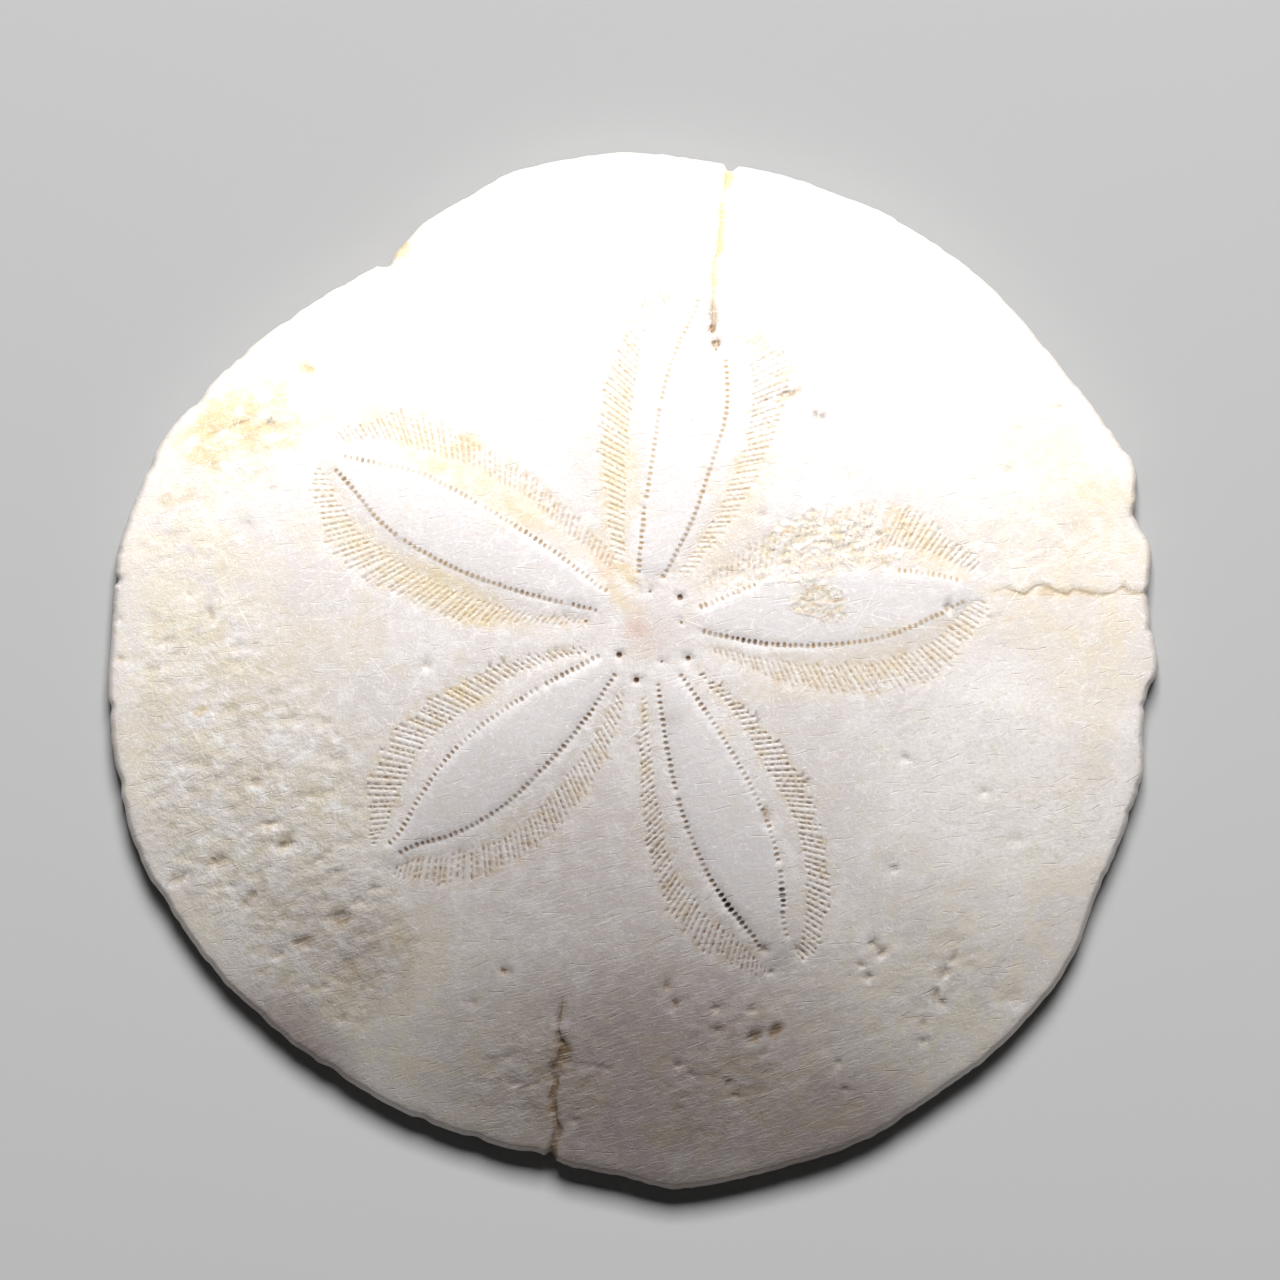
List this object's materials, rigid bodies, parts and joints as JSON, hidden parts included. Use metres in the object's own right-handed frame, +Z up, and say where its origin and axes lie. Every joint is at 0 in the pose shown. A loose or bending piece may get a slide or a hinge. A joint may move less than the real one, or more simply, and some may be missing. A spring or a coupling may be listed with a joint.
{
  "type": "fossil sand dollar",
  "caption": "Flat, nearly round fossil sea urchin test with a five-petal flower of pores and ribbed bands, lying on its flat oral face.",
  "frame": {"origin": "centre of the bounding box, at the level of the flat oral face that the fossil lies on", "axes": "+Z up through the aboral face, out of its petals; +Y towards the tip of the petal that points most nearly along it"},
  "size_m": [0.092, 0.091, 0.0112],
  "materials": {
    "fossil_limestone": "matt to satin cream-white limestone, stained ochre and grey-brown in its pores and cracks"
  },
  "bodies": {
    "root": {"sand_dollar_test": "fossil_limestone"}
  },
  "joints": []
}
